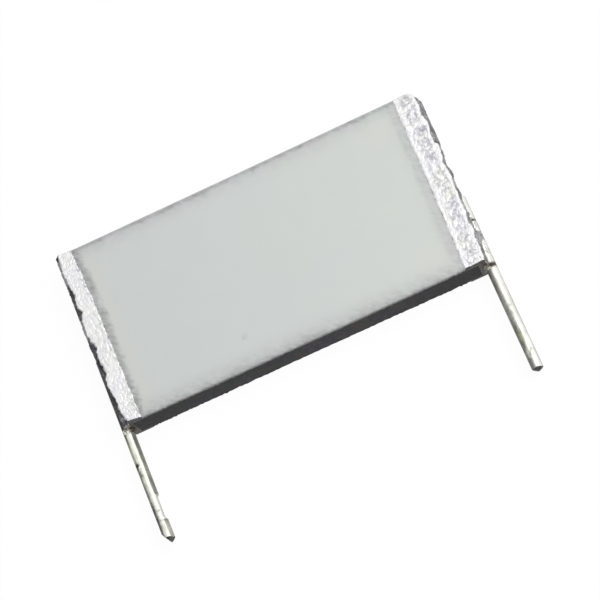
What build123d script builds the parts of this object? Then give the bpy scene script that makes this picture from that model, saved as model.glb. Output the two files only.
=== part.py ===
from build123d import *
import os

os.makedirs("parts", exist_ok=True)

# An uncased stacked film capacitor lying on its back, in millimetres.
# +X runs from the left end to the right, the leads point along -Y, and +Z is the front face.
# The origin is on the surface it lies on, under the middle of the block and leads together.
# Near is the lead side of the block, and far is the side opposite it.

# Leads
lead_pitch = 27.5
wire_diameter = 0.8
left_lead_reach = 8.4
right_lead_reach = 8.05
welded_length = 5.4
press_depth = 0.08

# Block, measured over the sprayed metal
block_height = 13.5
block_thickness = 3.0
cover_thickness = 0.25

# Sprayed end metal: how much lies behind the wire, and how far the crest of its bulge stays
# inside the wire's outer side. It thins towards the lead side, where the wire stands half proud.
metal_behind_wire = 0.43
crest_setback_far = 0.1
crest_setback_near = 0.38
# The bulge falls back from its crest to a rounded lip at each face
lip_fall_far = 0.25
lip_fall_near = 0.32
lip_radius = 0.1
# Laps over the faces of the film pack, which widen towards the lead side
lap_proud = 0.06
left_lap_far = 0.35
left_lap_near = 0.75
right_lap_far = 0.65
right_lap_near = 0.9
left_far_corner_radius = 0.15
right_far_corner_radius = 0.4

# Cut tips: a wedge left by side cutters, with its ridge along Z through the wire's middle
left_tip_outer_bevel = 0.7
left_tip_inner_bevel = 0.2
right_tip_outer_bevel = 0.12
right_tip_inner_bevel = 0.2

# Nick pressed into the inner side of the left lead
nick_start = 4.9
nick_length = 2.0
nick_depth = 0.19
nick_shoulder = 0.3

# Weld beads in the corner between lead and block
bead_side = 0.25
bead_setback = 0.05
bead_drop = 0.28

# Places worked out from the sizes above
wire_radius = wire_diameter / 2
lead_x = lead_pitch / 2
outer_x = lead_x + wire_radius
pressed_radius = wire_radius - press_depth / 2
spread_radius = wire_radius + press_depth / 2
pressed_x = outer_x - pressed_radius
stack_x = outer_x - 2 * pressed_radius - metal_behind_wire
near_y = (max(left_lead_reach, right_lead_reach) - block_height) / 2
far_y = near_y + block_height
middle_z = block_thickness / 2
cover_span = block_thickness - 2 * lap_proud
stack_span = cover_span - 2 * cover_thickness


def across(y):
    """Plane across the block at y, with its own x along X and its own y along Z."""
    return Plane.XZ.offset(-y)


# Film pack, sawn from a long winding
with BuildPart() as film_stack:
    with BuildSketch(across(near_y)):
        with Locations((0, middle_z)):
            Rectangle(2 * stack_x, stack_span)
    extrude(amount=-block_height)
film_stack.part.label = "film_stack"
export_step(film_stack.part, "parts/film_stack.step")


def cover_film(name, inner_z, outwards):
    """Plain film over one face of the pack, cut off where the sprayed laps begin."""
    with BuildPart() as cover:
        with BuildSketch(Plane.XY.offset(inner_z)):
            with BuildLine():
                Polyline(
                    (-stack_x + left_lap_near, near_y),
                    (stack_x - right_lap_near, near_y),
                    (stack_x - right_lap_far, far_y),
                    (-stack_x + left_lap_far, far_y),
                    close=True,
                )
            make_face()
        extrude(amount=outwards * cover_thickness)
    cover.part.label = name
    export_step(cover.part, f"parts/{name}.step")


cover_film("front_cover_film", middle_z + stack_span / 2, 1)
cover_film("back_cover_film", middle_z - stack_span / 2, -1)


def wire_seat(side):
    """Section of the welded stretch of a lead, pressed a little flat against the block."""
    with Locations((side * pressed_x, middle_z)):
        Ellipse(pressed_radius, spread_radius)


def end_metal(name, side, lap_far, lap_near, corner_radius):
    """Metal sprayed on one end: a bulged wall that laps over both faces of the pack."""
    beyond = outer_x + block_thickness
    with BuildPart() as metal:
        with BuildSketch(Plane.XY):
            with BuildLine():
                Polyline(
                    (side * (stack_x - lap_near), near_y),
                    (side * beyond, near_y),
                    (side * beyond, far_y),
                    (side * (stack_x - lap_far), far_y),
                    close=True,
                )
            make_face()
        extrude(amount=block_thickness)
        # The bulge, taken off as one lofted cut from the lead side to the far side
        for y, setback, fall in (
            (near_y, crest_setback_near, lip_fall_near),
            (far_y, crest_setback_far, lip_fall_far),
        ):
            crest_x = side * (outer_x - setback)
            lip_x = crest_x - side * fall
            cut_x = side * (beyond + block_thickness)
            with BuildSketch(across(y)):
                with BuildLine():
                    ThreePointArc((lip_x, 0), (crest_x, middle_z), (lip_x, block_thickness))
                    Polyline(
                        (lip_x, block_thickness),
                        (lip_x, 2 * block_thickness),
                        (cut_x, 2 * block_thickness),
                        (cut_x, -block_thickness),
                        (lip_x, -block_thickness),
                        (lip_x, 0),
                    )
                make_face()
        loft(ruled=True, mode=Mode.SUBTRACT)
        far_face = metal.faces().sort_by(Axis.Y)[-1]
        outermost = -1 if side > 0 else 0
        fillet(far_face.edges().sort_by(Axis.X)[outermost], corner_radius)
        # The curved edges of the two laps are their lips, with the corner at the far end
        rims = metal.faces().filter_by(Axis.Z).edges().filter_by(GeomType.LINE, reverse=True)
        fillet(rims, lip_radius)
        add(film_stack.part, mode=Mode.SUBTRACT)
        with BuildSketch(across(near_y)):
            wire_seat(side)
        extrude(amount=-welded_length, mode=Mode.SUBTRACT)
    metal.part.label = name
    export_step(metal.part, f"parts/{name}.step")


end_metal("left_end_metal", -1, left_lap_far, left_lap_near, left_far_corner_radius)
end_metal("right_end_metal", 1, right_lap_far, right_lap_near, right_far_corner_radius)


def lead(name, side, reach, outer_bevel, inner_bevel, nicked):
    """Tinned wire: pressed where it is welded, round where it stands free, cut to a wedge."""
    tip_y = near_y - reach
    free_y = near_y - bead_drop
    inner_x = side * (lead_x - wire_radius)
    with BuildPart() as wire:
        with BuildSketch(across(free_y)):
            wire_seat(side)
        extrude(amount=-(welded_length + bead_drop))
        with BuildSketch(across(free_y)):
            with Locations((side * lead_x, middle_z)):
                Circle(wire_radius)
        extrude(amount=free_y - tip_y)
        with BuildSketch(Plane.XY.offset(middle_z)):
            for edge_x, bevel in ((side * outer_x, outer_bevel), (inner_x, inner_bevel)):
                with BuildLine():
                    Polyline(
                        (edge_x, tip_y + bevel),
                        (edge_x, tip_y),
                        (side * lead_x, tip_y),
                        close=True,
                    )
                make_face()
        extrude(amount=wire_radius, both=True, mode=Mode.SUBTRACT)
        if nicked:
            nick_top = near_y - nick_start
            nick_foot = nick_top - nick_length
            flat_x = inner_x + side * nick_depth
            with BuildSketch(Plane.XY.offset(middle_z)):
                with BuildLine():
                    Polyline(
                        (inner_x, nick_top),
                        (flat_x, nick_top - nick_shoulder),
                        (flat_x, nick_foot + nick_shoulder),
                        (inner_x, nick_foot),
                        close=True,
                    )
                make_face()
            extrude(amount=wire_radius, both=True, mode=Mode.SUBTRACT)
    wire.part.label = name
    export_step(wire.part, f"parts/{name}.step")


lead("left_lead", -1, left_lead_reach, left_tip_outer_bevel, left_tip_inner_bevel, nicked=True)
lead("right_lead", 1, right_lead_reach, right_tip_outer_bevel, right_tip_inner_bevel, nicked=False)


def weld_bead(name, side):
    """Lump of fused metal in the corner between a lead and the lead side of the block."""
    bead_radius = wire_radius + (bead_side - bead_setback) / 2
    bead_x = side * (outer_x - bead_setback - bead_radius)
    with BuildPart() as bead:
        with BuildSketch(Plane.XY.offset(middle_z)):
            with BuildLine():
                EllipticalCenterArc(
                    (bead_x, near_y), bead_radius, bead_drop, start_angle=270, arc_size=90
                )
                Line((bead_x + bead_radius, near_y), (bead_x, near_y))
                Line((bead_x, near_y), (bead_x, near_y - bead_drop))
            make_face()
        revolve(axis=Axis((bead_x, near_y, middle_z), (0, 1, 0)))
        with BuildSketch(across(near_y)):
            wire_seat(side)
        extrude(amount=bead_drop, mode=Mode.SUBTRACT)
    bead.part.label = name
    export_step(bead.part, f"parts/{name}.step")


weld_bead("left_weld_bead", -1)
weld_bead("right_weld_bead", 1)
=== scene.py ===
import math

import bmesh
import bpy
import numpy as np
from mathutils import Matrix, Vector, noise

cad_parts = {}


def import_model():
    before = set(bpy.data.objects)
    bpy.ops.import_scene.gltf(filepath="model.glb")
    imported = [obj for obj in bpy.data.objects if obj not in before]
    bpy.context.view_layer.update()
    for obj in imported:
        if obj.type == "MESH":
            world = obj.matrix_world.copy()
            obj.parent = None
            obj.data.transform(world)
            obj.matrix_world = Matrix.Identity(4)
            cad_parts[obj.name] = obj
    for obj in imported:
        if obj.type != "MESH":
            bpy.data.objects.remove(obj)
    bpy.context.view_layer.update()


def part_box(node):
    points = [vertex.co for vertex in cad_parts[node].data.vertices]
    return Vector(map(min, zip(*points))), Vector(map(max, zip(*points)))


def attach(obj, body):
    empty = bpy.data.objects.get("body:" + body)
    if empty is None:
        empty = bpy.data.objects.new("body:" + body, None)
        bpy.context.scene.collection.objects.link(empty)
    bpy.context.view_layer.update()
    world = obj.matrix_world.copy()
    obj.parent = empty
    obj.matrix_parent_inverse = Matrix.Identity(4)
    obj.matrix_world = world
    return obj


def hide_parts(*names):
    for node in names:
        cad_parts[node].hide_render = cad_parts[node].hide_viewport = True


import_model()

# A naked stacked film capacitor lying on its back, with its leads along -Y.
# Meshes are worked out in millimetres and scaled to metres when they are made.
mm = 0.001
outward = {"left": -1, "right": 1}


def corners(node):
    """Lowest and highest corner of a CAD node, in millimetres."""
    low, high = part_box(node)
    return np.array(low) / mm, np.array(high) / mm


# Places read from the frame
stack_low, stack_high = corners("film_stack")
near_y, far_y = stack_low[1], stack_high[1]
stack_x = stack_high[0]
face_z = corners("left_end_metal")[1][2]
middle_z = face_z / 2
cover_top = corners("front_cover_film")[1][2]
outer_x = corners("right_lead")[1][0]

# Leads
wire_radius = 0.4
press_depth = 0.08
welded_length = 5.4
lead_x = outer_x - wire_radius
pressed_radius = wire_radius - press_depth / 2
spread_radius = wire_radius + press_depth / 2
pressed_x = outer_x - pressed_radius
groove_y = near_y + welded_length
# How far to either side of the sawn side a wire goes from round to pressed
pressing_run = 0.3
# How far the welded end of a wire is rounded
welded_end_run = 0.16
dent_depth = 0.012

# How far out each lap begins, as (y, x) from the lead side
lap_path = {
    "left": (
        (-2.55, 12.22), (2.5, 12.33), (5.0, 12.38), (7.0, 12.41), (8.5, 12.50), (10.95, 12.62),
    ),
    "right": ((-2.55, 12.08), (1.0, 12.18), (6.0, 12.27), (8.0, 12.28), (10.95, 12.35)),
}
far_corner_radius = {"left": 0.03, "right": 0.4}
far_corner_rise = {"left": 0.08, "right": 0.0}
lip_radius = 0.1
# Raggedness of the lips and the laps' inner edges, coarse and fine: how far, and how long
ragged_edge = ((0.03, 0.8), (0.045, 0.22))
# How deep the laps' inner edges are, and how wide the front and back ones slope
lap_step = 0.06
lap_edge_slope = 0.09
back_edge_slope = 0.02

# How far out each front lip reaches, as (y, x) from the lead side; it has broken back in places
lip_path = {
    "left": (
        (-2.55, 13.20), (-2.0, 13.30), (-1.6, 13.42), (-0.6, 13.50), (0.1, 13.55), (0.6, 13.64),
        (1.15, 13.60), (1.45, 13.42), (2.0, 13.40), (2.4, 13.55), (3.2, 13.54), (3.45, 13.38),
        (3.85, 13.42), (4.05, 13.60), (4.5, 13.70), (5.7, 13.71), (6.1, 13.58), (6.35, 13.38),
        (6.6, 13.56), (7.1, 13.66), (7.45, 13.60), (7.7, 13.47), (8.1, 13.58), (8.9, 13.70),
        (9.3, 13.76), (9.7, 13.72), (10.95, 13.66),
    ),
    "right": (
        (-2.55, 13.52), (-2.0, 13.62), (-1.4, 13.66), (-0.5, 13.62), (-0.1, 13.75), (0.25, 13.72),
        (0.5, 13.62), (0.9, 13.68), (1.2, 13.78), (2.2, 13.74), (2.6, 13.80), (3.6, 13.80),
        (4.1, 13.88), (4.5, 13.80), (5.3, 13.72), (5.6, 13.90), (6.1, 13.97), (6.6, 13.95),
        (6.8, 13.76), (7.4, 13.78), (8.2, 13.95), (8.8, 13.86), (9.05, 13.76), (9.4, 13.78),
        (9.9, 13.90), (10.3, 13.84), (10.95, 13.84),
    ),
}
# How far out the wall's crest reaches
crest_path = {
    "left": ((-2.55, 13.82), (2.85, 13.97), (4.0, 14.03), (10.95, 14.04)),
    "right": (
        (-2.55, 13.64), (-2.0, 13.70), (-1.3, 13.80), (-0.9, 13.84), (1.9, 13.88), (2.7, 13.90),
        (3.3, 13.97), (3.7, 13.91), (4.3, 13.91), (4.6, 14.02), (5.2, 13.93), (5.9, 13.92),
        (6.4, 14.05), (6.9, 13.98), (7.1, 14.10), (10.4, 14.12), (10.55, 14.06), (10.7, 13.86),
        (10.95, 13.80),
    ),
}
# Paler stretches in the painted light and shade of the walls' upper part: y, half length, and how
# much paler
pale_wall = {
    "left": (
        (10.4, 0.30, 0.9), (9.5, 0.45, 1.5), (8.8, 0.3, 0.4), (5.2, 0.8, 1.0), (-1.8, 0.3, 0.5),
        (-2.68, 0.15, 1.5),
    ),
    "right": (
        (10.8, 0.30, 1.0), (6.6, 0.16, 0.9), (3.7, 0.35, 0.6), (1.8, 0.3, 0.5), (0.3, 0.3, 0.5),
        (-0.5, 0.5, 0.3),
    ),
}
# Metal heaped beside each welded wire: how far from its middle, half width, height
heap = (0.52, 0.12, 0.03)
# How far the wall's seat lies inside the wire's surface
seat_gap = 0.02
# Metal splashed over a welded wire: y, half length, height over the wire's middle, half width
splash = {"right": (-0.45, 0.40, 0.50, 0.10)}
# How far the splash stands out, plain and in its folds
splash_rise = (0.14, 0.30)
# How the saw pulled the laps down at the lead side: reach and depth
pulled_down = (0.09, 0.10)
# How far the wall falls back from its crest to its back lip
back_lip_fall = 0.28
# Middle of the patch that the left weld melted bright
melted_patch = (-13.50, near_y, 2.45)

# Folds of the sprayed metal: sizes of the coarse and fine ones, and their shares of brightness,
# which is painted darker in the folds as shade
fold_sizes = (0.46, 0.16)
fold_shares = (0.65, 0.35)
# Stretches of an end: the axis and way they face, and how deep their coarse and fine folds are
fold_ways = {
    "lap": (2, 1, (0.030, 0.016)),
    "wall": (0, 1, (0.050, 0.030)),
    "back": (2, -1, (0.030, 0.015)),
}
# How bright the metal is where the saw cut a lap back, and how bright the upper part of a wall is
# painted where it isn't paler: near black on the left as painted shade, lighter on the right as
# painted light
cut_tone = {"left": 0.11, "right": 0.05}
upper_wall_light_and_shade = {"left": 0.04, "right": 0.45}

# Seeds of the noise that shapes the pieces
ragged_seed = {"left": 3.1, "right": 8.4}
fold_seed = {"left": 5.0, "right": 11.0}
dent_seed = {"left": 21.0, "right": 34.0}
lump_seed = {"left": 41.0, "right": 47.0}

# How finely the ends are meshed
end_rows = 340
lap_points = 52
wall_points = 90
back_points = 26
front_lip_points = 6
back_lip_points = 5
# Turn at which the arc of a lip begins, in radians from the lap
lip_start = 0.25


def close_at_ends(low, high, count):
    """Places from low to high, about ten times as close at both ends as in the middle."""
    t = np.linspace(0, 1, count)
    return low + (high - low) * (t - 0.82 * np.sin(2 * math.pi * t) / (2 * math.pi))


def between(near, far, y):
    """Value at y of a size that runs straight from the lead side to the far side."""
    share = (y - near_y) / (far_y - near_y)
    return near + (far - near) * share


def along(path, y):
    """Value at y of a path of (y, value) points."""
    places, values = zip(*path)
    return np.interp(y, places, values)


def hill(value, centre, width, height=1.0):
    """A soft hill of a height round a centre."""
    return height * np.exp(-(((value - centre) / width) ** 2))


def hills(value, *settings):
    """The sum of hills, each with a centre, a width and a height."""
    return sum(hill(value, *one) for one in settings)


def spot(x, y, centre_x, centre_y, reach_x, reach_y):
    """A soft round or oval spot, 1 in its middle."""
    return hill(x, centre_x, reach_x) * hill(y, centre_y, reach_y)


def plateau(value, centre, half_width):
    """1 round a centre, and 0 beyond its half width, with short slopes between."""
    return np.exp(-(((value - centre) / half_width) ** 4))


def smooth(low, high, value):
    """0 below low, 1 above high, and a smooth step between."""
    t = np.clip((value - low) / (high - low), 0, 1)
    return t * t * (3 - 2 * t)


def rough(point, scale, octaves=3, seed=0.0):
    """Smooth seeded noise from about -1 to 1; scale is the size of its lumps in millimetres."""
    place = Vector(point) / scale + Vector((seed, 1.7 * seed, 0.6 * seed))
    return noise.fractal(place, 0.6, 2.1, octaves)


def rough_field(points, scale, octaves=3, seed=0.0):
    """rough() at every point of an array."""
    flat = points.reshape(-1, 3)
    values = [rough(p, scale, octaves, seed) for p in flat.tolist()]
    return np.array(values).reshape(points.shape[:-1])


def crinkle(points, scale, seed=0.0):
    """Creased noise from 0, in its folds, to 1 on its flats."""
    return np.clip(np.abs(rough_field(points, scale, 2, seed)) * 2.2, 0, 1)


# Meshes


def mesh_object(name, vertices, faces, materials, face_materials=None, sharp_angle=50):
    """A piece from vertices in millimetres, with its normals made to point outwards."""
    mesh = bpy.data.meshes.new(name)
    mesh.from_pydata([tuple(v) for v in np.asarray(vertices) * mm], [], faces)
    for material in materials:
        mesh.materials.append(material)
    if face_materials is not None:
        mesh.polygons.foreach_set("material_index", face_materials)
    shaper = bmesh.new()
    shaper.from_mesh(mesh)
    bmesh.ops.recalc_face_normals(shaper, faces=shaper.faces)
    shaper.to_mesh(mesh)
    shaper.free()
    mesh.polygons.foreach_set("use_smooth", [True] * len(mesh.polygons))
    mesh.set_sharp_from_angle(angle=math.radians(sharp_angle))
    piece = bpy.data.objects.new(name, mesh)
    bpy.context.scene.collection.objects.link(piece)
    return piece


def paint(piece, name, values):
    """Keeps a value for each vertex, which the piece's material reads."""
    spot = piece.data.attributes.new(name, "FLOAT", "POINT")
    spot.data.foreach_set("value", np.asarray(values, dtype=np.float32).ravel())


def loft_faces(rows, columns):
    """Quads between closed rings of points, and one face over each end."""
    faces = []
    for r in range(rows - 1):
        for c in range(columns):
            a, b = r * columns + c, r * columns + (c + 1) % columns
            faces.append((a, b, b + columns, a + columns))
    faces.append(tuple(range(columns))[::-1])
    faces.append(tuple((rows - 1) * columns + c for c in range(columns)))
    return faces


def finish_piece(piece, node):
    """Puts a piece on the part's one body, and in the place of its CAD node."""
    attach(piece, "root")
    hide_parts(node)


# Materials


def add_node(tree, kind, inputs=None, **settings):
    """A node of a kind. Inputs are numbers, colours or other nodes' sockets."""
    node = tree.nodes.new(kind)
    for key, value in settings.items():
        setattr(node, key, value)
    for key, value in (inputs or {}).items():
        if isinstance(value, bpy.types.NodeSocket):
            tree.links.new(value, node.inputs[key])
        else:
            node.inputs[key].default_value = value
    return node


class Nodes:
    """Short calls for a material's nodes."""

    def __init__(self, name, **constants):
        self.material = bpy.data.materials.new(name)
        self.material.use_nodes = True
        self.tree = self.material.node_tree
        self.shader = self.tree.nodes["Principled BSDF"]
        for socket, value in constants.items():
            self.shader.inputs[socket.replace("_", " ")].default_value = value

    def add(self, kind, inputs=None, **settings):
        """A shader node of the material."""
        return add_node(self.tree, "ShaderNode" + kind, inputs, **settings)

    def place(self, stretch=(1, 1, 1), turn=0.0):
        """Object coordinates in millimetres, stretched and turned for a pattern."""
        vector = self.add("TexCoord").outputs["Object"]
        if turn:
            turned = {"Vector": vector, "Rotation": (0, 0, turn)}
            vector = self.add("Mapping", turned).outputs["Vector"]
        scale = tuple(s / mm for s in stretch)
        return self.add("Mapping", {"Vector": vector, "Scale": scale}).outputs["Vector"]

    def noise(self, scale, detail=4.0, stretch=(1, 1, 1), roughness=0.6, turn=0.0):
        """Noise from 0 to 1, with scale lumps in a millimetre."""
        inputs = {"Scale": scale, "Detail": detail, "Roughness": roughness}
        inputs["Vector"] = self.place(stretch, turn)
        return self.add("TexNoise", inputs).outputs["Fac"]

    def ramp(self, value, *stops):
        """Colour ramp with (place, colour) stops."""
        node = self.add("ValToRGB", {"Fac": value})
        while len(node.color_ramp.elements) < len(stops):
            node.color_ramp.elements.new(1.0)
        for element, (place, colour) in zip(node.color_ramp.elements, stops):
            element.position = place
            element.color = (*colour, 1)
        return node.outputs["Color"]

    def spread(self, value, from_low, from_high, low=0.0, high=1.0):
        """value, from one range to another, held at its ends."""
        inputs = {"Value": value, "From Min": from_low, "From Max": from_high}
        inputs["To Min"] = low
        inputs["To Max"] = high
        return self.add("MapRange", inputs).outputs["Result"]

    def vary(self, value, low, high):
        """From low to high over the middle of a noise, where most of it lies."""
        return self.spread(value, 0.3, 0.7, low, high)

    def math(self, operation, *values):
        """A sum, product or the like of values."""
        return self.add("Math", dict(enumerate(values)), operation=operation).outputs["Value"]

    def mix(self, share, first, second, blend="MIX"):
        """Colour that goes from first to second."""
        first, second = ((*c, 1) if isinstance(c, tuple) else c for c in (first, second))
        inputs = {0: share, 6: first, 7: second}
        return self.add("Mix", inputs, data_type="RGBA", blend_type=blend).outputs[2]

    def attribute(self, name):
        """A value that was painted on the piece."""
        return self.add("Attribute", attribute_name=name).outputs["Fac"]

    def bump(self, height, distance, strength=1.0):
        """Normal of a height, with its distance in millimetres."""
        inputs = {"Height": height, "Distance": distance * mm, "Strength": strength}
        return self.add("Bump", inputs).outputs["Normal"]

    def set(self, socket, value):
        """Links a value to a socket of the shader."""
        self.tree.links.new(value, self.shader.inputs[socket])


def cover_film_material():
    """Milky film: bluish to the left, greener to the right, greyer along its edges, and darkest at
    its rolled-down near rim as painted shade.
    """
    m = Nodes("milky_film", Specular_IOR_Level=0.3, Coat_Weight=0.06, Coat_Roughness=0.35)
    x = m.add("SeparateXYZ", {"Vector": m.place()}).outputs["X"]
    drift = m.math("ADD", x, m.vary(m.noise(0.22, 2.0), -5.0, 5.0))
    colour = m.mix(m.spread(drift, 1.0, 6.0), (0.568, 0.598, 0.590), (0.574, 0.606, 0.574))
    clouds = m.spread(m.noise(0.5, 2.0, roughness=0.5), 0.35, 0.65)
    colour = m.mix(m.math("MULTIPLY", clouds, 0.5), colour, (0.580, 0.600, 0.585))
    colour = m.mix(m.attribute("warm"), colour, (0.592, 0.605, 0.562))
    tint = m.spread(m.noise(0.7, 2.0), 0.4, 0.6)
    veil = m.mix(tint, (0.500, 0.535, 0.525), (0.530, 0.512, 0.538))
    colour = m.mix(m.attribute("veil"), colour, veil)
    grey = m.mix(m.noise(1.6, 3.0), (0.235, 0.24, 0.225), (0.34, 0.335, 0.345))
    painted = m.attribute("border")
    streaks = m.noise(2.2, 3.0, stretch=(0.7, 2.0, 1), turn=0.6)
    streaked = m.math("MULTIPLY", m.spread(painted, 0.04, 0.25), m.vary(streaks, -0.12, 0.13))
    border = m.math("ADD", m.math("MULTIPLY", painted, m.vary(streaks, 0.70, 1.30)), streaked)
    colour = m.mix(border, colour, grey)
    # Darkest at the rolled-down near rim: painted shade
    colour = m.mix(m.spread(painted, 0.82, 1.0), colour, (0.15, 0.15, 0.153))
    m.set("Base Color", colour)
    m.set("Roughness", m.vary(m.noise(2.5, 3.0), 0.38, 0.52))
    m.set("Normal", m.bump(m.noise(1.2, 3.0), 0.02, 0.25))
    return m.material


def film_edge_material():
    """Sawn edges of the film layers: dark, with fine streaks and faint patches of colour."""
    m = Nodes("sawn_film_edges", Specular_IOR_Level=0.13, Metallic=0.1)
    streaks = m.noise(1.0, 5.0, stretch=(2.0, 4, 9), roughness=0.7)
    patches = m.ramp(
        m.noise(0.9, 3.0, stretch=(1, 1, 0.5)),
        (0.38, (0.066, 0.040, 0.036)),
        (0.45, (0.024, 0.050, 0.037)),
        (0.50, (0.020, 0.020, 0.022)),
        (0.55, (0.046, 0.034, 0.072)),
        (0.62, (0.066, 0.062, 0.050)),
    )
    dark = m.ramp(
        streaks,
        (0.35, (0.005, 0.005, 0.005)),
        (0.50, (0.025, 0.024, 0.025)),
        (0.68, (0.110, 0.107, 0.110)),
    )
    x = m.math("ABSOLUTE", m.add("SeparateXYZ", {"Vector": m.place()}).outputs["X"])
    colour = m.mix(0.6, dark, patches)
    m.set("Base Color", m.mix(m.spread(x, 5.0, 12.5, 0.0, 0.75), colour, (0.01, 0.01, 0.01)))
    m.set("Roughness", m.vary(streaks, 0.5, 0.7))
    m.set("Normal", m.bump(streaks, 0.03, 0.6))
    return m.material


def lap_material():
    """Sprayed metal pressed on the faces: bright flats, and lavender-grey folds darkened as painted
    shade.
    """
    m = Nodes("pressed_sprayed_metal", Metallic=0.12, Specular_IOR_Level=0.35)
    fine = m.noise(7.0, 4.0, roughness=0.7)
    tint = m.noise(0.9, 2.0)
    tone = m.math("ADD", m.attribute("tone"), m.vary(fine, -0.07, 0.07))
    cool = m.ramp(
        tone,
        (0.00, (0.025, 0.023, 0.026)),
        (0.15, (0.10, 0.095, 0.11)),
        (0.50, (0.34, 0.33, 0.37)),
        (0.80, (0.65, 0.65, 0.685)),
        (1.00, (0.81, 0.81, 0.825)),
    )
    warm = m.ramp(
        tone,
        (0.00, (0.028, 0.026, 0.024)),
        (0.15, (0.11, 0.11, 0.10)),
        (0.50, (0.37, 0.37, 0.35)),
        (0.80, (0.68, 0.68, 0.66)),
        (1.00, (0.82, 0.82, 0.81)),
    )
    m.set("Base Color", m.mix(m.spread(tint, 0.42, 0.58), cool, warm))
    m.set("Roughness", m.spread(tone, 0.2, 1.0, 0.62, 0.36))
    m.set("Normal", m.bump(fine, 0.03, 0.5))
    return m.material


def wall_material():
    """Sprayed metal on the ends, left as it set: dull and grainy, with painted shade in its folds
    and painted light and shade over its upper part.
    """
    m = Nodes("rough_sprayed_metal", Metallic=0.15, Specular_IOR_Level=0.2)
    fine = m.noise(8.0, 4.0, roughness=0.7)
    clouds = m.noise(0.8, 2.0)
    tone = m.math("ADD", m.attribute("tone"), m.vary(fine, -0.2, 0.2))
    colour = m.ramp(
        tone,
        (0.00, (0.020, 0.017, 0.024)),
        (0.45, (0.12, 0.115, 0.13)),
        (1.00, (0.50, 0.49, 0.51)),
    )
    m.set("Base Color", m.mix(m.spread(clouds, 0.4, 0.65, 0.0, 0.35), colour, (0.10, 0.095, 0.10)))
    m.set("Roughness", m.vary(fine, 0.6, 0.85))
    m.set("Normal", m.bump(fine, 0.05, 0.7))
    return m.material


def sawn_metal_material():
    """Sprayed metal where it is sawn through: browned, and melted bright at the left weld."""
    m = Nodes("sawn_sprayed_metal", Metallic=0.3, Specular_IOR_Level=0.4)
    streaks = m.noise(1.2, 4.0, stretch=(1, 4, 8))
    mottle = m.noise(1.6, 3.0)
    dark = m.ramp(streaks, (0.3, (0.045, 0.041, 0.038)), (0.7, (0.135, 0.122, 0.110)))
    colour = m.mix(m.spread(mottle, 0.4, 0.65), dark, (0.080, 0.064, 0.050))
    away = m.add("VectorMath", {0: m.place(), 1: melted_patch}, operation="DISTANCE")
    near_patch = m.spread(away.outputs["Value"], 0.18, 0.38, 1.0, 0.0)
    melted = m.math("MULTIPLY", near_patch, m.noise(5.0, 3.0))
    m.set("Base Color", m.mix(m.spread(melted, 0.15, 0.55), colour, (0.50, 0.49, 0.44)))
    m.set("Roughness", m.vary(streaks, 0.45, 0.65))
    m.set("Normal", m.bump(streaks, 0.03, 0.5))
    return m.material


def tinned_wire_material():
    """Tinned wire, coloured from its painted shade value: a painted highlight along its crest,
    painted shade on its flanks, and its marks and greenish cast.
    """
    m = Nodes("tinned_wire", Specular_IOR_Level=0.35)
    marks = m.noise(2.6, 5.0, stretch=(1, 0.4, 1), roughness=0.7)
    shade = m.math("ADD", m.attribute("shade"), m.vary(marks, -0.13, 0.13))
    colour = m.ramp(
        shade,
        (0.00, (0.020, 0.018, 0.020)),
        (0.20, (0.18, 0.18, 0.165)),
        (0.50, (0.42, 0.42, 0.38)),
        (0.80, (0.70, 0.695, 0.64)),
        (1.00, (0.86, 0.855, 0.82)),
    )
    colour = m.mix(m.attribute("green"), colour, (0.87, 0.92, 0.70), "MULTIPLY")
    m.set("Base Color", colour)
    m.set("Metallic", m.spread(shade, 0.05, 0.4, 0.1, 0.8))
    m.set("Roughness", m.spread(shade, 0.1, 0.9, 0.6, 0.46))
    m.set("Normal", m.bump(marks, 0.02, 0.35))
    return m.material


def weld_material():
    """Fused metal: scorched brown in its hollows, with bright specks."""
    m = Nodes("scorched_weld", Metallic=0.5, Specular_IOR_Level=0.4)
    mottle = m.noise(4.0, 4.0, roughness=0.7)
    tone = m.math("ADD", m.attribute("tone"), m.vary(mottle, -0.15, 0.15))
    colour = m.ramp(
        tone,
        (0.0, (0.035, 0.026, 0.022)),
        (0.4, (0.10, 0.085, 0.070)),
        (0.6, (0.26, 0.245, 0.20)),
        (0.8, (0.60, 0.59, 0.52)),
        (1.0, (0.90, 0.89, 0.82)),
    )
    m.set("Base Color", colour)
    m.set("Roughness", m.vary(mottle, 0.35, 0.6))
    m.set("Normal", m.bump(mottle, 0.05, 0.6))
    return m.material


# Pieces


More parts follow.
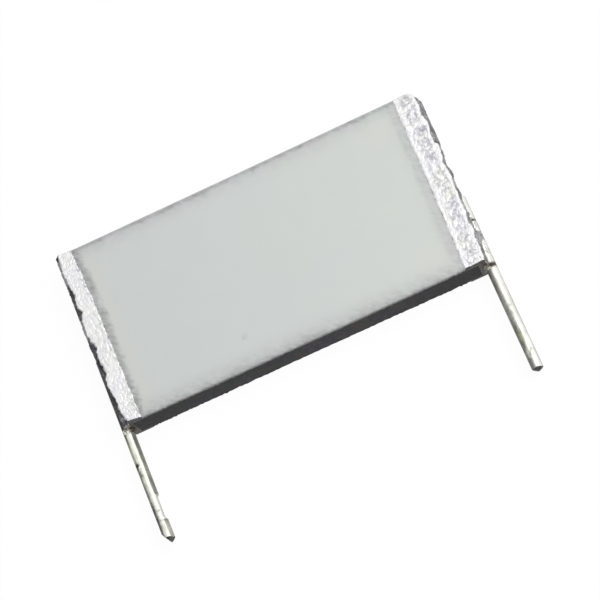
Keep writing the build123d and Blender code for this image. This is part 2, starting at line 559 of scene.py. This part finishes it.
def end_section(side, y):
    """Points round an end metal at each y, as outward distance and height, and their kinds."""
    seed = ragged_seed[side]
    places = np.column_stack([np.zeros(len(y)), y, np.zeros(len(y))])
    (coarse_reach, coarse_size), (fine_reach, fine_size) = ragged_edge
    ragged = coarse_reach * rough_field(places, coarse_size, 2, seed)
    ragged = ragged + fine_reach * rough_field(places, fine_size, 2, seed + 2)
    inner = (along(lap_path[side], y) + 0.9 * ragged[::-1])[:, None]
    crest = (along(crest_path[side], y) + 0.02 * rough_field(places, 0.4, 2, seed + 5))[:, None]
    front_lip = (along(lip_path[side], y) + ragged)[:, None]
    back_lip = crest - back_lip_fall + ragged[:, None]
    stretches = []

    def stretch(kind, x, z):
        size = max(np.size(z), np.shape(x)[1])
        full = (len(y), size)
        stretches.append((kind, np.broadcast_to(x, full), np.broadcast_to(z, full)))

    def lip(kind, edge, turns, front):
        x = edge - lip_radius + lip_radius * np.sin(turns)
        z = lip_radius * (1 - np.cos(turns))
        stretch(kind, x, face_z - z if front else z)

    stretch("hidden", inner, stack_high[2])
    stretch("lap", inner, face_z - lap_step)
    across = np.linspace(0, 1, lap_points)
    lap_start = inner + lap_edge_slope
    stretch("lap", lap_start + (front_lip - lip_radius - lap_start) * across, face_z)
    lip("lap", front_lip, np.linspace(lip_start, math.pi / 2, front_lip_points), True)
    z = np.linspace(face_z - lip_radius, lip_radius, wall_points)[1:-1]
    height = (z - middle_z) / middle_z
    body = crest - back_lip_fall * height**2
    edge_body = crest - back_lip_fall * (1 - lip_radius / middle_z) ** 2
    body = body + (front_lip - edge_body) * (1 - smooth(0, 0.5, face_z - z))
    body = body + (back_lip - edge_body) * (1 - smooth(0, 0.5, z))
    stretch("wall", body, z)
    lip("back", back_lip, np.linspace(math.pi / 2, lip_start, back_lip_points), False)
    across = np.linspace(1, 0, back_points)
    back_start = inner + back_edge_slope
    stretch("back", back_start + (back_lip - lip_radius - back_start) * across, 0)
    stretch("back", inner, lap_step)
    stretch("hidden", inner, stack_low[2])
    stretch("hidden", np.full((len(y), 1), stack_x), np.linspace(stack_low[2], stack_high[2], 6))
    x = np.concatenate([s[1] for s in stretches], axis=1)
    z = np.concatenate([s[2] for s in stretches], axis=1)
    kinds = np.concatenate([[s[0]] * s[1].shape[1] for s in stretches])
    return x, z, kinds


def lap_tone(side, rings, folds):
    """How bright a lap is, from 0 in its deepest folds to 1, with the folds painted darker as
    shade.
    """
    y = rings[..., 1]
    inner = along(lap_path[side], y)
    edge = along(lip_path[side], y)
    patches = rough_field(rings, 0.42, 3, seed=15.0)
    across = (rings[..., 0] - inner) / (edge - inner)
    across = across + 0.10 * rough_field(rings, 0.6, 2, seed=17.0)
    if side == "left":
        # Darker along the lap's inner edge
        darker_inner_edge = hill(across, 0, 0.16, 0.25)
        tone = 1.03 + 0.44 * (folds - 0.55) + 0.12 * patches - darker_inner_edge
        slant = 0.14
    else:
        dull = smooth(0.16, 0.34, across) * (1 - smooth(0.82, 0.92, across))
        depth = between(0.21, 0.25, y)
        blobs = smooth(0.18, 0.34, rough_field(rings, 0.34, 2, seed=23.0))
        tone = 0.94 - depth * dull + (0.20 + 0.12 * dull) * (folds - 0.5)
        tone = tone + dull * (0.16 * patches + 0.18 * blobs)
        slant = 0.03
    sawn_back = 0.10 + slant * across + 0.04 * rough_field(rings, 0.3, 2, seed=19.0)
    cut = cut_tone[side]
    return cut + (tone - cut) * smooth(-0.03, 0.03, y - near_y - sawn_back)


def wall_tone(side, rings, folds):
    """How bright a wall is, from 0 to 1: darker in its folds as painted shade, with painted light
    and shade over its upper part.
    """
    y = rings[..., 1]
    # Over the wall's upper part: painted shade on the left, painted light on the right, with paler
    # stretches; below, a plain mid grey
    tone = upper_wall_light_and_shade[side] + 0.5 * folds + 0.35 * rough_field(rings, 0.5, 2, seed=35.0)
    for place, half_length, paler in pale_wall[side]:
        tone = tone + paler * plateau(y, place, half_length)
    upper = smooth(1.0, 1.9, rings[..., 2] + 0.5 * rough_field(rings, 0.9, 2, seed=31.0))
    plain = 0.30 + 0.5 * folds + 0.25 * rough_field(rings, 1.3, 2, seed=33.0)
    return plain + (tone - plain) * upper


def end_metal(side, lap, wall, sawn):
    """Metal sprayed on an end: bulged grainy wall, ragged lips, laps pressed on the faces."""
    seed = fold_seed[side]
    y = close_at_ends(near_y, far_y, end_rows)
    x, z, kinds = end_section(side, y)
    rings = np.stack([x, np.broadcast_to(y[:, None], x.shape), z], axis=-1)
    on = {kind: kinds == kind for kind in fold_ways}
    tone = np.zeros(x.shape)
    for kind, (axis, way, (coarse_depth, fine_depth)) in fold_ways.items():
        part = rings[:, on[kind]]
        coarse = crinkle(part, fold_sizes[0], seed)
        fine = crinkle(part, fold_sizes[1], seed + 3)
        # Painted shade: the metal is darker in its folds and brighter on its flats
        folds = fold_shares[0] * coarse + fold_shares[1] * fine
        brightness = wall_tone if kind == "wall" else lap_tone
        tone[:, on[kind]] = brightness(side, part, folds)
        raised = coarse_depth * (coarse - 0.5) + fine_depth * (fine - 0.5)
        rings[:, on[kind], axis] += way * raised
    rings[:, on["wall"], 0] += 0.035 * rough_field(rings[:, on["wall"]], 0.6, 2, seed + 7)
    rings[:, on["lap"], 2] -= hill(rings[:, on["lap"], 1], near_y, *pulled_down)
    wrap_wire(side, rings)
    shape_far_corner(side, rings)
    rings[..., 0] = np.minimum(rings[..., 0], outer_x)
    rings[..., 2] = np.clip(rings[..., 2], 0, None)
    rings[..., 0] *= outward[side]
    strip = np.where(kinds == "wall", 1, 0)
    indices = np.concatenate([np.tile(strip, len(y) - 1), [2, 2]])
    faces = loft_faces(len(y), len(kinds))
    finishes = [lap, wall, sawn]
    piece = mesh_object(side + "_sprayed_end", rings.reshape(-1, 3), faces, finishes, indices)
    paint(piece, "tone", tone)
    finish_piece(piece, side + "_end_metal")


def wrap_wire(side, rings):
    """Sinks the seat of the welded wire into the wall, with metal heaped along it and over it."""
    x, y, z = rings[..., 0], rings[..., 1], rings[..., 2]
    off = np.abs(z - middle_z)
    beside = (y < groove_y) & (x > pressed_x - 0.5) & (off < 1.2)
    x += hill(off, *heap) * beside
    roundness = np.sqrt(np.clip(1 - (off / spread_radius) ** 2, 0, 1))
    seat = pressed_x - pressed_radius * roundness - seat_gap
    inside = beside & (off < spread_radius)
    x[inside] = np.minimum(x[inside], seat[inside])
    if side in splash:
        place, half_length, above, half_width = splash[side]
        over = plateau(y, place, half_length) * hill(z, middle_z + above, half_width) * beside
        x += over * (splash_rise[0] + splash_rise[1] * crinkle(rings, 0.25, seed=29.0))


def shape_far_corner(side, rings):
    """Rounds the outer corner at the far side in plan, and lets it stand out a little."""
    x, y = rings[..., 0], rings[..., 1]
    radius = far_corner_radius[side]
    into = np.clip(y - (far_y - radius), 0, radius)
    back = radius - np.sqrt(radius**2 - into**2)
    x -= back * smooth(stack_x, stack_x + 0.5, x)
    outer = smooth(stack_x - 0.4, stack_x + 0.8, x)
    y += far_corner_rise[side] * outer * smooth(far_y - 0.4, far_y, y)


# How far a cover film lies below its solid's face
film_sink = 0.012
# How the film is rolled down at its sawn sides: reach, and share of the depth
near_roll = (0.35, 1.0)
far_roll = (0.15, 0.4)
# Depth of the roll at the ends, and how much more it is in the middle
roll_depth = (0.03, 0.10)
# How far along y the near rim of each film is moved
rim_shift = {"front": -0.028, "back": 0.0}
film_columns = 190
film_rows = 130


def cover_film(side, film, edge):
    """Plain film over a face: nearly flat, rolled down along its sawn edges."""
    front = side == "front"
    ys = close_at_ends(near_y, far_y, film_rows)
    left = -along(lap_path["left"], ys)[:, None]
    right = along(lap_path["right"], ys)[:, None]
    top = np.zeros((film_rows, film_columns, 3))
    top[..., 0] = left + (right - left) * close_at_ends(0, 1, film_columns)
    top[..., 1] = ys[:, None]
    painted = film_edges(top, left, right) if front else film_edges(top[:, ::-1], left, right)
    middle = 1 - (top[..., 0] / stack_x) ** 2
    from_near = top[..., 1] - near_y
    roll = hill(from_near, 0, *near_roll) + hill(top[..., 1], far_y, *far_roll)
    top[..., 2] = cover_top - film_sink - (roll_depth[0] + roll_depth[1] * middle) * roll
    top[..., 2] += 0.01 * rough_field(top, 2.5, 2, seed=2.0 if front else 6.0)
    if front:
        for x, y, radius, rise, _ in film_specks:
            top[..., 2] += rise * spot(top[..., 0], top[..., 1], x, y, radius, radius)
    low = top.copy()
    low[..., 2] = stack_high[2]
    frayed = 0.045 * rough_field(top, 0.22, 3, seed=12.0) + rim_shift[side]
    top[..., 1] += frayed * hill(from_near, 0, 0.15)
    if not front:
        for layer in (top, low):
            layer[..., 2] = face_z - layer[..., 2]
    faces, indices = slab_faces(film_rows, film_columns)
    vertices = np.concatenate([top.reshape(-1, 3), low.reshape(-1, 3)])
    piece = mesh_object(side + "_milky_film", vertices, faces, [film, edge], indices)
    for name, values in painted.items():
        paint(piece, name, np.concatenate([values.ravel(), values.ravel()]))
    finish_piece(piece, side + "_cover_film")


def slab_faces(rows, columns):
    """Quads of a closed slab of two grids of points, and which of them are its rim."""
    count = rows * columns
    faces = []
    for r in range(rows - 1):
        for c in range(columns - 1):
            a = r * columns + c
            quad = (a, a + 1, a + columns + 1, a + columns)
            faces += [quad, tuple(count + i for i in quad[::-1])]
    rim = list(range(columns))
    rim += [r * columns + columns - 1 for r in range(1, rows)]
    rim += [(rows - 1) * columns + c for c in range(columns - 2, -1, -1)]
    rim += [r * columns for r in range(rows - 2, 0, -1)]
    indices = [0] * len(faces) + [1] * len(rim)
    faces += [(a, b, count + b, count + a) for a, b in zip(rim, rim[1:] + rim[:1])]
    return faces, indices


# Small marks in the front film: x, y, radius, how far they rise, and how grey they are
film_specks = (
    (-3.6, -0.27, 0.16, -0.05, 0.45),
    (-4.9, 7.6, 0.09, 0.02, -0.1),
    (-1.7, 7.0, 0.09, 0.02, -0.1),
    (-10.5, 6.7, 0.10, 0.015, -0.1),
    (7.8, 7.3, 0.10, 0.015, -0.1),
    (-2.4, 10.55, 0.28, 0.0, 0.15),
    (1.2, 9.9, 0.14, -0.01, 0.06),
    (2.0, -1.9, 0.3, 0.0, 0.07),
)


def film_edges(top, left, right):
    """How grey, veiled and warm the film is near its edges, each from 0 to 1."""
    x, y = top[..., 0], top[..., 1]
    wander = rough_field(top, 1.1, 3, seed=4.0)
    fine = rough_field(top, 0.35, 2, seed=9.0)
    uneven = 1 + 0.35 * wander + 0.30 * fine
    from_left, from_right, from_near, from_far = x - left, right - x, y - near_y, far_y - y
    at_left = (0.68 + 0.12 * fine) * (1 - smooth(0.12, 0.72, from_left / uneven))
    at_right = hills(from_right, (0.10, 0.11, 0.20), (0.45, 0.22 * uneven, 0.17), (0, 1.0, 0.05))
    # Painted shade on the near rim, which is rolled down and turned away from the light
    near_rim_shade = hills(from_near, (0, 0.28 * uneven, 0.58), (0.03, 0.09, 0.42), (0.5, 0.6, 0.17))
    stripe = (0.17 + 0.06 * fine, 0.14 * uneven, 0.42 + 0.25 * wander)
    at_far = hills(from_far, stripe, (0, 0.9, 0.10))
    border = np.maximum.reduce([at_left, at_far, at_right, near_rim_shade])
    for place_x, place_y, radius, _, grey in film_specks:
        border += grey * spot(x, y, place_x, place_y, radius, radius)
    veil = np.maximum.reduce(
        [
            hill(from_far, 0, 0.75 * uneven, between(0.4, 1.0, y)),
            hill(from_right, 0, 0.55 * uneven, 0.75),
            hill(from_near, 0, 0.75 * uneven, 0.55),
        ]
    )
    warm = hill(from_left, 0.9, 0.5 * uneven, 0.6) * (from_far > 0.1)
    for corner_y in (9.3, -0.9):
        warm = np.maximum(warm, 0.8 * spot(x, y, 10.6, corner_y, 1.6, 1.0))
    painted = {"border": border, "veil": veil, "warm": warm}
    return {name: np.clip(values, 0, 1) for name, values in painted.items()}


# About how thick the scene's film layers are, and how unevenly they are sawn
layer_size = 0.05
unevenness = 0.02
# Lumps of that unevenness in a millimetre, along and across the layers
lumps_along = 0.25
lumps_across = 14.0
layer_columns = 90


def layer_nodes(edge, thickness):
    """Nodes that put a layer at every point, and the values of their inputs."""
    tree = bpy.data.node_groups.new("film_layers", "GeometryNodeTree")
    tree.interface.new_socket("Geometry", in_out="INPUT", socket_type="NodeSocketGeometry")
    sizes = {
        "Length": 2 * stack_x * mm,
        "Depth": (far_y - near_y) * mm,
        "Layer": thickness * mm,
        "Unevenness": unevenness * mm,
    }
    values = {}
    for label, value in sizes.items():
        socket = tree.interface.new_socket(label, in_out="INPUT", socket_type="NodeSocketFloat")
        socket.default_value = value
        values[socket.identifier] = value
    tree.interface.new_socket("Geometry", in_out="OUTPUT", socket_type="NodeSocketGeometry")

    def add(kind, inputs=None, **settings):
        return add_node(tree, kind, inputs, **settings).outputs

    given = add("NodeGroupInput")
    result = tree.nodes.new("NodeGroupOutput")
    size = {"X": given["Length"], "Y": given["Depth"], "Z": given["Layer"]}
    size = add("ShaderNodeCombineXYZ", size)[0]
    slab = add("GeometryNodeMeshCube", {"Vertices X": layer_columns, "Size": size})["Mesh"]
    copies = {"Points": given["Geometry"], "Instance": slab}
    copies = add("GeometryNodeInstanceOnPoints", copies)["Instances"]
    layers = add("GeometryNodeRealizeInstances", {"Geometry": copies})[0]
    place = add("ShaderNodeSeparateXYZ", {0: add("GeometryNodeInputPosition")[0]})
    lengthways = {0: place["X"], 1: lumps_along / mm}
    upwards = {0: place["Z"], 1: lumps_across / mm}
    lengthways = add("ShaderNodeMath", lengthways, operation="MULTIPLY")[0]
    upwards = add("ShaderNodeMath", upwards, operation="MULTIPLY")[0]
    where = add("ShaderNodeCombineXYZ", {"X": lengthways, "Z": upwards})[0]
    uneven = add("ShaderNodeTexNoise", {"Vector": where, "Scale": 1.0, "Detail": 2.0})["Fac"]
    uneven = add("ShaderNodeMath", {0: uneven, 1: 0.5}, operation="SUBTRACT")[0]
    uneven = add("ShaderNodeMath", {0: uneven, 1: given["Unevenness"]}, operation="MULTIPLY")[0]
    shift = add("ShaderNodeCombineXYZ", {"Y": uneven})[0]
    layers = add("GeometryNodeSetPosition", {"Geometry": layers, "Offset": shift})[0]
    layers = add("GeometryNodeSetMaterial", {"Geometry": layers, "Material": edge})[0]
    tree.links.new(layers, result.inputs[0])
    return tree, values


def film_stack(edge):
    """The pack's film layers, each a thin slab sawn a little unevenly at both sides."""
    low_z, high_z = stack_low[2], stack_high[2]
    count = round((high_z - low_z) / layer_size)
    thickness = (high_z - low_z) / count
    tree, values = layer_nodes(edge, thickness)
    middle_y = (near_y + far_y) / 2
    mesh = bpy.data.meshes.new("film_layers_places")
    places = [(0, middle_y * mm, (low_z + (i + 0.5) * thickness) * mm) for i in range(count)]
    mesh.from_pydata(places, [], [])
    piece = bpy.data.objects.new("sawn_film_layers", mesh)
    bpy.context.scene.collection.objects.link(piece)
    modifier = piece.modifiers.new("layers", "NODES")
    modifier.node_group = tree
    for identifier, value in values.items():
        modifier[identifier] = value
    bpy.context.view_layer.update()
    made = piece.evaluated_get(bpy.context.evaluated_depsgraph_get())
    solid = bpy.data.meshes.new_from_object(made)
    piece.modifiers.clear()
    piece.data = solid
    finish_piece(piece, "film_stack")


# Cut tips: how far each side is cut back along the wire
cut_tips = {"left": {"outer": 0.7, "inner": 0.2}, "right": {"outer": 0.12, "inner": 0.2}}
# Flat pressed into the inner side of the left lead
nick = {"top": near_y - 4.9, "foot": near_y - 6.9, "depth": 0.19, "shoulder": 0.3}

# How far each lead lies inside its place
lead_shift = {"left": 0.04, "right": 0.0}
# Painted highlight and shade round a lead, bright along its crest and dark on its flanks, as (share
# of the radius outwards, brightness)
lead_highlight_and_shade = {
    "left": (
        (-1.0, 0.40), (-0.80, 0.22), (-0.56, 0.22), (-0.42, 0.62), (0.0, 0.78), (0.30, 0.80),
        (0.44, 0.58), (0.57, 0.24), (1.0, 0.15),
    ),
    "right": (
        (-1.0, 0.32), (-0.7, 0.25), (-0.34, 0.31), (-0.16, 0.54), (0.05, 0.61), (0.36, 0.68),
        (0.58, 0.90), (0.80, 0.95), (0.92, 0.66), (1.0, 0.50),
    ),
}
# Marks on the leads: y, share of the radius outwards, half length, half width, change of tone
lead_marks = {
    "left": (
        (-5.20, 0.56, 0.10, 0.28, -1.00), (-5.92, 0.42, 0.18, 0.25, -0.30),
        (-6.05, 0.25, 0.16, 0.2, -0.16), (-3.9, 0.74, 0.9, 0.25, 0.16),
        (-5.8, 0.82, 0.3, 0.2, 0.20), (-4.7, 0.75, 0.30, 0.25, 0.22),
        (-3.8, 0.15, 0.9, 0.30, 0.16), (-6.8, 0.3, 0.25, 0.25, -0.14),
        (-7.4, 0.1, 0.2, 0.2, -0.14), (-8.72, 0.0, 0.10, 0.40, -0.40),
        (-8.3, 0.35, 0.5, 0.18, -0.26), (-9.44, -0.1, 0.09, 0.6, -0.30),
        (-9.2, 0.42, 0.25, 0.18, -0.36), (-10.1, -0.72, 0.60, 0.30, 0.34),
        (-9.9, 0.4, 0.4, 0.15, -0.18), (-2.85, 0.3, 0.09, 0.5, -0.15),
        (-9.9, 0.2, 0.55, 0.5, -0.12), (-9.9, -0.25, 0.5, 0.2, -0.16),
        (-3.8, -0.65, 0.8, 0.25, -0.08), (-7.0, -0.65, 0.5, 0.25, 0.10),
        (-6.5, 0.62, 0.5, 0.2, 0.10),
    ),
    "right": (
        (-2.60, 0.40, 0.17, 0.9, -0.95), (-5.74, 0.15, 0.13, 0.38, -0.20),
        (-6.28, 0.06, 0.26, 0.30, -0.20), (-7.3, -0.05, 0.5, 0.14, -0.18),
        (-8.05, -0.05, 0.5, 0.22, -0.16), (-9.12, 0.34, 0.15, 0.17, -0.36),
        (-9.30, 0.10, 0.15, 0.17, -0.26), (-9.46, -0.12, 0.15, 0.17, -0.20),
        (-9.6, -0.40, 0.1, 0.2, 0.22), (-9.3, -0.45, 0.3, 0.25, 0.30),
        (-8.05, -0.50, 0.5, 0.25, 0.10), (0.88, 0.9, 0.09, 1.5, -0.7),
        (-1.6, 0.6, 0.12, 0.5, -0.12), (-9.3, 0.75, 0.5, 0.22, -0.20),
        (-6.5, 0.80, 0.6, 0.22, -0.12),
    ),
}
# Middle, reach and depth of a pit in the outer side of the left lead
pit_place = (lead_x + 0.25, -5.18, middle_z + 0.3)
pit_size = (0.13, 0.05)
# How finely the leads are meshed, with closer rows near the tip
lead_sides = 64
tip_length = 1.1
tip_rows = 70
shaft_rows = 330
# How far down the front of each cut tip slopes
tip_slope = {"left": 0.30, "right": 0.18}


def lead(side, tinned):
    """Tinned wire: pressed where it is welded, round where it stands free, cut to a wedge."""
    low, high = corners(side + "_lead")
    tip_y, top_y = low[1], high[1]
    tip = tip_y + tip_length * np.linspace(0, 1, tip_rows) ** 1.2
    ys = np.concatenate([tip, np.linspace(tip_y + tip_length, top_y, shaft_rows)[1:]])
    turns = np.linspace(0, 2 * math.pi, lead_sides, endpoint=False)
    out, up = np.cos(turns), np.sin(turns)
    pressed = smooth(near_y - pressing_run, near_y + pressing_run, ys)
    centre = lead_x + (pressed_x - lead_x) * pressed
    half_x = wire_radius + (pressed_radius - wire_radius) * pressed
    half_z = wire_radius + (spread_radius - wire_radius) * pressed
    rounded = np.sqrt(np.clip(1 - smooth(top_y - welded_end_run, top_y, ys) ** 4, 0.12, 1))
    rings = np.zeros((len(ys), len(turns), 3))
    rings[..., 0] = centre[:, None] + (half_x * rounded)[:, None] * out
    rings[..., 1] = ys[:, None]
    rings[..., 2] = middle_z + (half_z * rounded)[:, None] * up
    dents = rough_field(rings * np.array([1, 0.35, 1]), 0.35, 3, dent_seed[side])
    radial = rings - np.stack([centre, ys, np.full(len(ys), middle_z)], 1)[:, None, :]
    rings += radial * (dent_depth * dents)[..., None]
    # A lead's brightness starts from its painted highlight on the crest and painted shade on the
    # flanks
    shade = np.interp(out, *zip(*lead_highlight_and_shade[side])) + 0.10 * dents
    facing = np.broadcast_to(out, shade.shape)
    shade = mark_lead(side, rings, shade, facing)
    if side == "left":
        press_nick(rings)
    shade = cut_tip(side, rings, ys - tip_y, shade)
    rings[..., 0] = np.minimum(rings[..., 0], outer_x) - lead_shift[side]
    rings[..., 0] *= outward[side]
    faces = loft_faces(len(ys), lead_sides)
    name = side + "_tinned_lead"
    piece = mesh_object(name, rings.reshape(-1, 3), faces, [tinned], sharp_angle=35)
    paint(piece, "shade", np.clip(shade, 0, 1))
    paint(piece, "green", green_tint(side, rings[..., 1], facing))
    finish_piece(piece, side + "_lead")


def mark_lead(side, rings, shade, out):
    """Adds a lead's marks, and painted shade over the upper half of the left one where it is
    welded.
    """
    y = rings[..., 1]
    for place, share, half_length, half_width, change in lead_marks[side]:
        shade = shade + change * spot(y, out, place, share, half_length, half_width)
    mottle = rough_field(rings, 0.16, 3, seed=27.0)
    height = (rings[..., 2] - middle_z) / wire_radius
    if side == "right":
        return shade + 0.55 * (mottle - 0.1) * plateau(y, -0.3, 1.6)
    in_nick = smooth(nick["foot"], nick["foot"] + 0.1, y)
    in_nick = in_nick * (1 - smooth(nick["top"] - 0.25, nick["top"], y))
    # Painted light grey on the nick's flat, in place of the inner flank's painted shade
    shade = shade + (0.72 - shade) * in_nick * (1 - smooth(-0.5, -0.35, out))
    worn = hills(y, (-5.5, 0.8, 1.0), (-8.5, 1.1, 0.6))
    shade = shade + 0.34 * mottle * worn * smooth(-0.45, -0.30, out)
    # Painted shade over the upper half of the left lead where it is welded
    welded_shade = smooth(near_y + 0.04, near_y + 0.18, y) * smooth(-0.3, 0.05, height + 0.4 * mottle)
    return shade + 0.2 * mottle * (y > near_y) - shade * welded_shade


def green_tint(side, y, out):
    """Where the tin has a greenish cast."""
    if side == "right":
        return spot(y, out, -7.9, -0.35, 0.55, 0.55)
    upper = smooth(0.45, 0.65, out) * hill(y, -3.6, 0.9)
    return np.maximum(upper, hill(y, -5.2, 1.6, 0.35)) * (y < near_y)


def cut_tip(side, rings, from_tip, shade):
    """Cuts a lead's end to a wedge that slopes at the front, and paints its facets dark as painted
    shade.
    """
    cut = cut_tips[side]
    outer_limit = (lead_x + wire_radius * from_tip / cut["outer"])[:, None]
    inner_limit = (lead_x - wire_radius * from_tip / cut["inner"])[:, None]
    top_limit = (middle_z + wire_radius * from_tip / tip_slope[side])[:, None]
    x, z = rings[..., 0], rings[..., 2]
    facet = (x > outer_limit) | (x < inner_limit) | (z > top_limit)
    rings[..., 0] = np.clip(x, inner_limit, outer_limit)
    rings[..., 2] = np.minimum(z, top_limit)
    # Painted shade: a dark line beside the outer bevel, and dark facets
    rim = hill(x, outer_limit, 0.08, 0.7) * (outer_limit < lead_x + wire_radius)
    return np.where(facet, 0.04, shade * (1 - rim))


def press_nick(rings):
    """Flat pressed into the inner side of the lead, and a pit in its outer side."""
    y = rings[..., 1]
    slope = nick["shoulder"]
    into = smooth(nick["foot"], nick["foot"] + slope, y)
    into = np.minimum(into, 1 - smooth(nick["top"] - slope, nick["top"], y))
    limit = lead_x - wire_radius + nick["depth"] * into
    rings[..., 0] = np.maximum(rings[..., 0], limit)
    pit = hill(np.linalg.norm(rings - np.array(pit_place), axis=-1), 0, *pit_size)
    rings[..., 0] -= pit
    rings[..., 2] -= pit


# Weld beads: their middle outwards, reach outwards, reach up, and how lumpy they are
bead_x = {"left": 13.62, "right": 13.66}
bead_reach = {"left": 0.44, "right": 0.46}
bead_height = 0.55
lumpiness = {"left": 0.22, "right": 0.16}
# How far a bead stands out past its solid, and how far it is sunk in the sawn side
bead_rise = 0.04
bead_sink = 0.02
bead_sides = 72
bead_rows = 34


def weld_bead(side, scorched):
    """Lump of fused metal round a lead, in its corner with the sawn side."""
    low, high = corners(side + "_weld_bead")
    drop = high[1] - low[1] + bead_rise
    turns = np.linspace(0, 2 * math.pi, bead_sides, endpoint=False)
    across, up = (np.sign(v) * np.abs(v) ** 0.65 for v in (np.cos(turns), np.sin(turns)))
    rises = np.linspace(0.03, math.pi / 2, bead_rows)
    widths = np.sin(rises)[:, None] ** 0.6
    rings = np.zeros((bead_rows + 1, bead_sides, 3))
    rings[:-1, :, 0] = bead_x[side] + bead_reach[side] * widths * across
    rings[:-1, :, 1] = near_y - drop * np.cos(rises)[:, None]
    rings[:-1, :, 2] = middle_z + bead_height * widths * up
    rings[-1] = rings[-2]
    rings[-1, :, 1] = near_y + bead_sink
    lumps = crinkle(rings, 0.22, lump_seed[side])
    away = rings - np.array([bead_x[side], near_y, middle_z])
    rings[:-1] += (away * (lumpiness[side] * (lumps - 0.45))[..., None])[:-1]
    rings[..., 0] = np.minimum(rings[..., 0], outer_x)
    outwards = rings[..., 0] - lead_x
    if side == "left":
        tone = 0.26 + 0.52 * smooth(-0.44, -0.20, outwards) + 0.4 * (lumps - 0.5)
    else:
        tone = 0.50 - 0.34 * smooth(-0.12, 0.0, outwards) + 0.16 * (lumps - 0.5)
        front = smooth(0.15, 0.22, near_y - rings[..., 1])
        tone = tone + 0.6 * front * smooth(-0.35, -0.1, outwards)
    rings[..., 0] *= outward[side]
    faces = loft_faces(len(rings), bead_sides)
    piece = mesh_object(side + "_scorched_bead", rings.reshape(-1, 3), faces, [scorched])
    paint(piece, "tone", np.clip(tone, 0, 1))
    finish_piece(piece, side + "_weld_bead")


# Stage


def light_path_share(tree):
    """1 for rays that see the background: straight, mirrored or through glass."""
    path = add_node(tree, "ShaderNodeLightPath").outputs
    seen = path["Is Camera Ray"]
    for name in ("Is Glossy Ray", "Is Transmission Ray"):
        widest = add_node(tree, "ShaderNodeMath", {0: seen, 1: path[name]}, operation="MAXIMUM")
        seen = widest.outputs[0]
    return seen


def world(ambient):
    """White where it is seen, and a plain soft level where it lights."""
    made = bpy.data.worlds.new("studio")
    made.use_nodes = True
    tree = made.node_tree
    tree.nodes.clear()
    white = (1, 1, 1, 1)
    lit = add_node(tree, "ShaderNodeBackground", {"Color": white, "Strength": ambient})
    seen = add_node(tree, "ShaderNodeBackground", {"Color": white})
    inputs = {"Fac": light_path_share(tree), 1: lit.outputs[0], 2: seen.outputs[0]}
    both = add_node(tree, "ShaderNodeMixShader", inputs)
    add_node(tree, "ShaderNodeOutputWorld", {"Surface": both.outputs[0]})
    bpy.context.scene.world = made


def floor():
    """Plain white floor that keeps a faint shadow, and throws little light back up."""
    reach = 2000 * mm
    mesh = bpy.data.meshes.new("floor")
    corner_signs = ((-1, -1), (1, -1), (1, 1), (-1, 1))
    mesh.from_pydata([(reach * x, reach * y, 0) for x, y in corner_signs], [], [(0, 1, 2, 3)])
    made = bpy.data.objects.new("floor", mesh)
    bpy.context.scene.collection.objects.link(made)
    m = Nodes("white_floor", Roughness=0.9, Specular_IOR_Level=0.1)
    seen = light_path_share(m.tree)
    m.set("Base Color", m.mix(seen, (0.35, 0.35, 0.35), (1.0, 1.0, 1.0)))
    glow = m.add("Emission", {"Strength": 1.0})
    share = m.math("MULTIPLY", seen, 0.96)
    both = m.add("MixShader", {"Fac": share, 1: m.shader.outputs[0], 2: glow.outputs[0]})
    m.tree.links.new(both.outputs[0], m.tree.nodes["Material Output"].inputs["Surface"])
    mesh.materials.append(m.material)


def lamp(name, place, aim, width, power):
    """Soft square lamp, with its places in millimetres."""
    data = bpy.data.lights.new(name, "AREA")
    data.shape = "SQUARE"
    data.size = width * mm
    data.energy = power
    made = bpy.data.objects.new(name, data)
    made.location = Vector(place) * mm
    made.rotation_euler = (Vector(aim) - Vector(place)).to_track_quat("-Z", "Y").to_euler()
    bpy.context.scene.collection.objects.link(made)


def camera():
    """Looks down on the front face from the lead side, with the leads pointing down right."""
    aim = Vector((0.835, 0.948, 1.5))
    azimuth, elevation, roll = (math.radians(angle) for angle in (14.81, 70.35, -38.64))
    distance = 145.86
    data = bpy.data.cameras.new("camera")
    data.lens = 126.54
    data.sensor_width = 36.0
    data.clip_start = 0.01
    made = bpy.data.objects.new("camera", data)
    turn = Matrix.Rotation(azimuth, 4, "Z") @ Matrix.Rotation(math.pi / 2 - elevation, 4, "X")
    turn = turn @ Matrix.Rotation(roll, 4, "Z")
    back = turn.to_3x3() @ Vector((0, 0, 1))
    made.matrix_world = Matrix.Translation((aim + distance * back) * mm) @ turn
    bpy.context.scene.collection.objects.link(made)
    bpy.context.scene.camera = made


camera()
world(ambient=0.35)
floor()
lamp("overhead", place=(95, 10, 200), aim=(0, 4, 0), width=130, power=0.40)
bpy.context.scene.view_settings.view_transform = "Standard"

film = cover_film_material()
edges = film_edge_material()
lap, wall, sawn = lap_material(), wall_material(), sawn_metal_material()
tinned, scorched = tinned_wire_material(), weld_material()

film_stack(edges)
cover_film("front", film, edges)
cover_film("back", film, edges)
for side in ("left", "right"):
    end_metal(side, lap, wall, sawn)
    lead(side, tinned)
    weld_bead(side, scorched)
